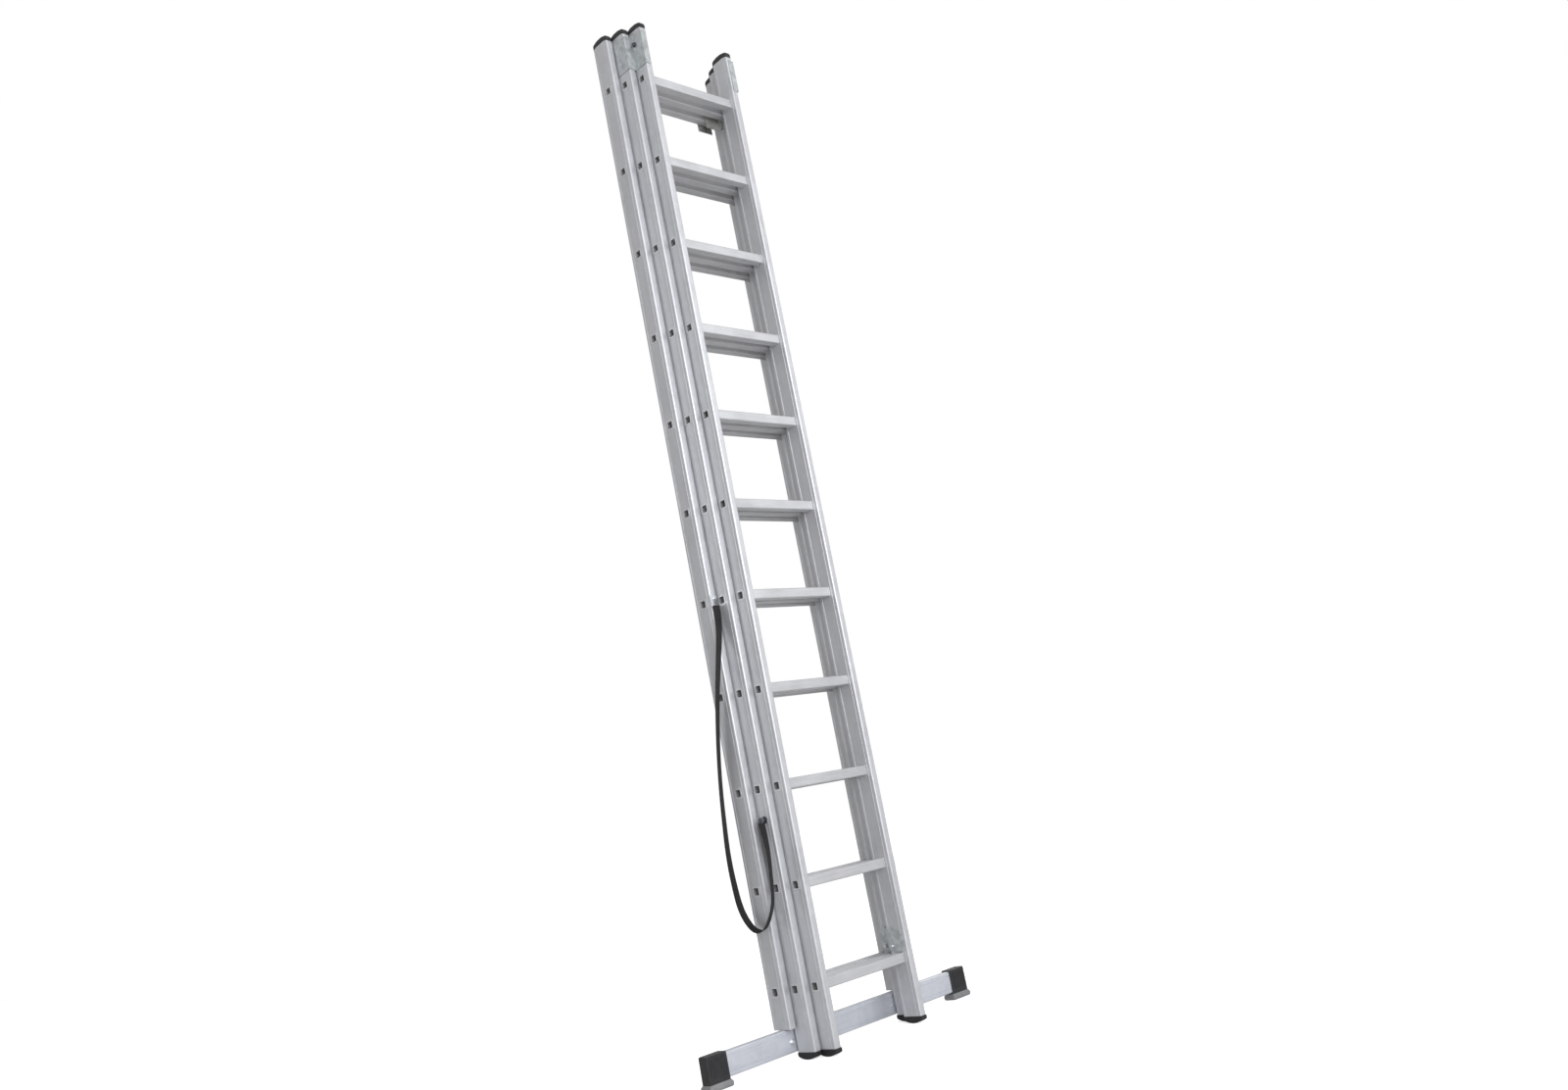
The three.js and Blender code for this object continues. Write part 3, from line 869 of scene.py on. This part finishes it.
@dataclass
class LadderSection:
    """One section of the ladder: two stiles, eleven rungs, feet and top caps."""

    name: str
    shop: Workshop
    rungs: int = 11
    stile_radius: float = 5.0 * MM
    stile_wall: float = 1.8 * MM
    flutes: tuple[float, ...] = (-23 * MM, 23 * MM)
    flute_depth: float = 0.8 * MM
    top_rise: float = 7.0 * MM
    cap_thickness: float = 17.0 * MM
    rung_half: float = 15.0 * MM
    rung_radius: float = 4.0 * MM
    rung_wall: float = 1.6 * MM
    tread_ribs: tuple[float, ...] = (-8 * MM, -4 * MM, 0.0, 4 * MM, 8 * MM)
    rib_depth: float = 0.9 * MM
    half_groove: float = 1.1 * MM
    swage: float = 1.3 * MM
    lip: float = 0.5 * MM
    rolled_in: float = 3.0 * MM
    has_feet: bool = True

    @property
    def body(self) -> str:
        """The body that the section is."""
        return f"{self.name}_section"

    def build(self) -> None:
        """Makes every piece of the section."""
        for where, _ in SIDES:
            self._stile(where)
            self._top_cap(where)
            if self.has_feet:
                self.shop.refine(f"{self.name}_foot_{where}", FOOT_RUBBER, self.body, 1.2 * MM, 3)
        for index in range(1, self.rungs + 1):
            self._rung(f"{index:02d}")

    def _arch(self, across: float, half: float) -> float:
        """How far the arched end rises at a place across the stile's depth."""
        return self.top_rise * (1 - (across / half) ** 2)

    def _stile(self, where: str) -> None:
        """Makes one hollow stile with its rung holes and arched top.

        Args:
            where: left or right.
        """
        node = f"{self.name}_stile_{where}"
        low, high, centre, half = spans(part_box(node))
        outer = rounded_outline(half.x, half.y, self.stile_radius, 5, self.flutes,
                                self.flute_depth)
        wall = self.stile_wall
        inner = rounded_outline(half.x - wall, half.y - wall, self.stile_radius - wall, 5,
                                self.flutes, 0.0)
        rings = [self._ring(outer, centre, low.z, 0.0, half.y),
                 self._ring(outer, centre, high.z - self.top_rise, 1.0, half.y),
                 self._ring(inner, centre, high.z - self.top_rise, 1.0, half.y),
                 self._ring(inner, centre, low.z, 0.0, half.y)]
        stile = loft(f"fine_{node}", rings, cyclic=True)
        cut(stile, self._rung_cutters(where))
        self.shop.dress(settle(stile), STILE_METAL, self.body, [node])

    def _ring(self, outline: Sequence[Point2], centre: Vector, z: float, arched: float,
              half: float) -> Ring:
        """One ring of a stile or cap, whose lowest point is at z where it is arched."""
        return [Vector((centre.x + a, centre.y + b, z + arched * self._arch(b, half)))
                for a, b in outline]

    def _rung_cutters(self, where: str) -> Object:
        """The eleven prisms that cut the rung holes.

        Args:
            where: left or right.

        Returns:
            One object of eleven closed prisms.
        """
        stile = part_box(f"{self.name}_stile_{where}")
        low, high = stile[0][0] - 0.01, stile[1][0] + 0.01
        parts = []
        for index in range(1, self.rungs + 1):
            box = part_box(f"{self.name}_rung_{index:02d}")
            y = (box[0][1] + box[1][1]) / 2
            z = (box[0][2] + box[1][2]) / 2
            half = (box[1][2] - box[0][2]) / 2 + 0.0002
            outline = rounded_outline(half, half, self.rung_radius, 4)
            parts.append(loft("cutter", [[Vector((x, y + a, z + b)) for a, b in outline]
                                         for x in (low, high)]))
        return join("cutters", parts)

    def _rung(self, number: str) -> None:
        """Makes one ribbed rung, swaged at both stiles and rolled in at its ends.

        Args:
            number: the rung's number from the bottom.
        """
        node = f"{self.name}_rung_{number}"
        _, high, centre, size = spans(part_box(node))
        half, end = size.z, high.x
        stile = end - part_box(f"{self.name}_stile_right")[0][0]
        bead = self.swage
        # Place along the rung and growth of each outer ring, from the end inwards.
        stations = [(end + 0.7 * MM, 0.2 * self.lip), (end + 0.3 * MM, self.lip),
                    (end + 0.1 * MM, self.lip), (end - 0.2 * MM, 0.0),
                    (end - stile - 0.2 * MM, 0.0), (end - stile - 0.4 * MM, bead),
                    (end - stile - 2.4 * MM, bead), (end - stile - 4.4 * MM, 0.0)]
        along = [(-x, grow) for x, grow in stations] + [(x, grow) for x, grow in reversed(stations)]
        rings = [self._rung_ring(x, centre, half + grow, self.rib_depth) for x, grow in along]
        inside = half - self.rung_wall
        hollow = [(end + 0.7 * MM, self.rolled_in), (end - 5 * MM, self.rolled_in),
                  (end - 9 * MM, 0.0)]
        back = [(x, shrink) for x, shrink in hollow] + [(-x, shrink) for x, shrink in reversed(hollow)]
        rings += [self._rung_ring(x, centre, inside - shrink, 0.0) for x, shrink in back]
        rung = loft(f"fine_{node}", rings, cyclic=True)
        self.shop.dress(settle(rung, angle=40), RUNG_METAL, self.body, [node])

    def _rung_ring(self, x: float, centre: Vector, half: float, depth: float) -> Ring:
        """One ring of a rung, with its ribs on the tread and the underside.

        Args:
            x: where it lies along the rung.
            centre: the rung's centre.
            half: half its height and depth.
            depth: the grooves' depth.

        Returns:
            The ring.
        """
        scale = half / self.rung_half
        outline = rounded_outline(half, half, self.rung_radius * scale, 4,
                                  [place * scale for place in self.tread_ribs], depth,
                                  self.half_groove * scale)
        return [Vector((x, centre.y + b, centre.z + a)) for a, b in outline]

    def _top_cap(self, where: str) -> None:
        """Makes the arched cap on a stile's top.

        Args:
            where: left or right.
        """
        low, high, centre, half = spans(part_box(f"{self.name}_stile_{where}"))
        # Rise above the stile's shoulder and growth of each level, from the bottom up.
        levels = ((0.2 * MM, 0.0), (0.2 * MM, 0.4 * MM), (self.cap_thickness * 0.7, 0.4 * MM),
                  (self.cap_thickness, -1.4 * MM))
        rings = []
        for rise, grow in levels:
            outline = rounded_outline(half.x + grow, half.y + grow, self.stile_radius, 5,
                                      [place * 0.5 for place in self.flutes], 0.0)
            rings.append(self._ring(outline, centre, high.z - self.top_rise + rise, 1.0,
                                    half.y + grow))
        cap = loft(f"{self.name}_top_cap_{where}", rings)
        self.shop.dress(settle(cap), CAP_PLASTIC, self.body)


# Stabiliser bar --------------------------------------------------------


@dataclass
class StabiliserBar:
    """The wide bar at the bottom, with its end caps, soles and bolts."""

    shop: Workshop
    corner: float = 4.0 * MM
    wall: float = 2.0 * MM
    sole_height: float = 18.0 * MM
    flare: float = 5 * MM
    groove_inset: float = 13 * MM
    groove_depth: float = 0.7 * MM
    rib_count: int = 7
    rib_pitch: float = 9 * MM
    rib_half: Point2 = (1 * MM, 26 * MM)
    rib_rise: float = 38 * MM
    rib_span: Point2 = (-0.4 * MM, 0.8 * MM)
    bolt_out: float = 0.232
    rivet_out: float = 0.190
    bolt_height: float = 0.050
    body: str = "rear_section"

    def build(self) -> None:
        """Makes the bar and all that is on it."""
        self._tube()
        for where, side in SIDES:
            self._cap(where, side)
            self._fasteners(where, side)
            self.shop.refine(f"bar_spigot_{where}", CAP_PLASTIC, self.body, 0.5 * MM)

    def _tube(self) -> None:
        """Makes the hollow bar, with a shallow groove near each long edge."""
        low, high, centre, half = spans(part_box("stabiliser_bar"))
        grooves = (self.groove_inset - half.z, half.z - self.groove_inset)
        outer = rounded_outline(half.y, half.z, self.corner, 4, grooves, self.groove_depth)
        inner = rounded_outline(half.y - self.wall, half.z - self.wall, self.corner - self.wall, 4,
                                grooves, 0.0)
        rings = [self._ring(outline, centre, x) for outline, x in (
            (outer, low.x), (outer, high.x), (inner, high.x), (inner, low.x))]
        bar = loft("fine_stabiliser_bar", rings, cyclic=True)
        self.shop.dress(settle(bar), BAR_METAL, self.body, ["stabiliser_bar"])

    @staticmethod
    def _ring(outline: Sequence[Point2], centre: Vector, x: float) -> Ring:
        """One ring of the bar."""
        return [Vector((x, centre.y + a, centre.z + b)) for a, b in outline]

    def _cap(self, where: str, side: int) -> None:
        """Makes an end cap's sleeve, open where the bar goes in, and its sole.

        Args:
            where: left or right.
            side: -1 for left and 1 for right.
        """
        node = f"bar_end_cap_{where}"
        low, high, centre, half = spans(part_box(node))
        flare = self.flare
        # Height and inset of each level of the sleeve and of the sole, from the bottom up.
        sleeve = loft(f"fine_{node}", [
            self._level(centre, half.x - flare - inset, half.y - flare - inset, z)
            for z, inset in ((self.sole_height, 0.0), (high.z - 3 * MM, 0.3 * MM),
                             (high.z - 0.8 * MM, 0.9 * MM), (high.z, 2.6 * MM))])
        bar_low, bar_high, middle, room = spans(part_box("stabiliser_bar"))
        mouth = high.x - flare if side < 0 else low.x + flare
        bar_end = bar_low.x if side < 0 else bar_high.x
        outline = rounded_outline(room.y + 0.2 * MM, room.z + 0.2 * MM, self.corner, 4)
        cut(sleeve, loft("bar_room", [self._ring(outline, middle, x) for x in (
            bar_end + side * 0.2 * MM, mouth - side * 10 * MM)]))
        self.shop.dress(settle(sleeve), CAP_PLASTIC, self.body, [node])
        sole = loft(f"bar_sole_{where}", [
            self._level(centre, half.x - inset, half.y - inset, z)
            for z, inset in ((0.0, 3 * MM), (2 * MM, 0.8 * MM), (8 * MM, 0.0),
                             (13 * MM, 1.0 * MM), (self.sole_height, 4.6 * MM))])
        self.shop.dress(settle(sole), SOLE_PLASTIC, self.body)
        self._ribs(where, centre, half)

    @staticmethod
    def _level(centre: Vector, half_x: float, half_y: float, z: float) -> Ring:
        """One level outline of a cap or sole."""
        outline = rounded_outline(half_x, half_y, 4 * MM, 5)
        return [Vector((centre.x + a, centre.y + b, z)) for a, b in outline]

    def _ribs(self, where: str, centre: Vector, half: Vector) -> None:
        """Adds raised ribs to the sleeve's front and back.

        Args:
            where: left or right.
            centre: the cap's centre.
            half: half its size.
        """
        parts = []
        face = half.y - self.flare
        base_z = self.sole_height + self.rib_rise
        outline = rounded_outline(*self.rib_half, 0.9 * MM, 4)
        for way in (-1, 1):
            for index in range(self.rib_count):
                x = centre.x + (index - (self.rib_count - 1) / 2) * self.rib_pitch
                faces = [centre.y + way * (face + out) for out in self.rib_span]
                parts.append(loft("rib", [[Vector((x + a, y, base_z + b)) for a, b in outline]
                                          for y in faces]))
        ribs = join(f"bar_cap_ribs_{where}", parts)
        self.shop.dress(settle(ribs, 0.3 * MM), CAP_PLASTIC, self.body)

    def _fasteners(self, where: str, side: int) -> None:
        """Adds the bolt and the rivet that hold the bar.

        Args:
            where: left or right.
            side: -1 for left and 1 for right.
        """
        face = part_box("stabiliser_bar")[0][1]
        place = Vector((side * self.bolt_out, face, self.bolt_height))
        bolt = lathe(f"bar_bolt_{where}", BOLT_PROFILE, place, TOWARDS_FRONT, 6)
        washer = lathe("washer", WASHER_PROFILE, place, TOWARDS_FRONT)
        both = join(f"bar_bolt_{where}_set", [bolt, washer])
        self.shop.dress(settle(both, 0.3 * MM), ZINC_FASTENER, self.body)
        self.shop.fasten(f"bar_rivet_{where}", HEAD_PROFILE,
                         (side * self.rivet_out, face, self.bolt_height), TOWARDS_FRONT,
                         ZINC_FASTENER, self.body)


# Hooks, guides and locks -----------------------------------------------


@dataclass
class Fittings:
    """The sheet-metal fittings: hinge hooks, top guides and lock plates."""

    shop: Workshop
    scallop_rise: float = 22 * MM
    scallop_steps: int = 10
    overcut: float = 10 * MM
    guide_gap: float = 2.7 * MM

    def build(self) -> None:
        """Makes every fitting on both sides."""
        for where, side in SIDES:
            # The hinge hooks and their rivets: the hooks take the hinge steel whose dark colour is
            # painted shade.
            for kind, finish in (("hinge_hook", SHADED_HINGE_STEEL), ("hinge_rivet", ZINC_FASTENER)):
                self.shop.refine(f"{kind}_{where}", finish, "hinge_carriage", 0.6 * MM)
            self._guide(where, side)
            for section in ("middle", "front"):
                self._lock(section, where, side)

    def _guide(self, where: str, side: int) -> None:
        """Makes one bent guide whose lower edge is scalloped.

        Args:
            where: left or right.
            side: -1 for left and 1 for right.
        """
        node = f"top_guide_{where}"
        guide = refined(node, f"fine_{node}")
        low, high, _, _ = spans(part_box(node))
        middle_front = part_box(f"middle_stile_{where}")[0][1]
        arches = ((low.y - 4 * MM, middle_front), (middle_front, high.y))
        scallops = [self._scallop(first, last, low, high) for first, last in arches]
        cut(guide, join("scallops", scallops))
        settle(guide, 0.5 * MM)
        self.shop.dress(guide, GALVANISED, "middle_section", [node])
        outer = high.x if side > 0 else low.x
        rivet_levels = (high.z - 24 * MM, low.z + 34 * MM)
        for index, z in enumerate(rivet_levels, start=1):
            self.shop.fasten(f"guide_rivet_{where}_{index}", RIVET_PROFILE,
                             (outer, high.y - 18 * MM, z), Vector((side, 0, 0)), ZINC_FASTENER,
                             "middle_section")
        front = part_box(f"front_stile_{where}")
        face = front[1][0] + self.guide_gap if side > 0 else front[0][0] - self.guide_gap
        self.shop.fasten(f"guide_bolt_{where}", BOLT_PROFILE,
                         (face, middle_front - 16 * MM, high.z - 30 * MM), Vector((side, 0, 0)),
                         DARK_BOLT, "middle_section", 6, 0.3 * MM)

    def _scallop(self, first: float, last: float, low: Vector, high: Vector) -> Object:
        """Makes one arched cutter under the guide.

        Args:
            first: where the arch starts along Y.
            last: where it ends.
            low: the guide's lowest corner.
            high: its highest corner.

        Returns:
            The cutter.
        """
        arch = [(first, low.z - self.overcut)]
        for step in range(self.scallop_steps + 1):
            share = step / self.scallop_steps
            rise = self.scallop_rise * math.sin(math.pi * share)
            arch.append((first + (last - first) * share, low.z + rise))
        arch.append((last, low.z - self.overcut))
        return loft("scallop", [[Vector((x, y, z)) for y, z in arch]
                                for x in (low.x - self.overcut, high.x + self.overcut)])

    def _lock(self, section: str, where: str, side: int) -> None:
        """Makes one lock plate with its pivot bolt.

        Args:
            section: middle or front.
            where: left or right.
            side: -1 for left and 1 for right.
        """
        node = f"{section}_lock_{where}"
        self.shop.refine(node, GALVANISED, node, 0.6 * MM)
        joint = next(j for j in frame["joints"] if j["child"] == node)
        pivot = joint["pos_m"]
        low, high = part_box(node)
        inner = low[0] if side > 0 else high[0]
        self.shop.fasten(f"{node}_bolt", BOLT_PROFILE, (inner, pivot[1], pivot[2]),
                         Vector((-side, 0, 0)), ZINC_FASTENER, node, bevel=0.3 * MM)


def main() -> None:
    """Builds the scene in order."""
    logging.basicConfig(level=logging.INFO, format="%(name)s: %(message)s")
    studio = Studio()
    studio.camera()
    shop = Workshop()
    SpreadStraps(shop).build()
    for name in ("rear", "middle", "front"):
        LadderSection(name, shop, has_feet=name != "rear").build()
    StabiliserBar(shop).build()
    Fittings(shop).build()
    studio.light()
    studio.floor(shop)
    LOG.info("%d pieces", shop.count)


if __name__ == "__main__":
    main()
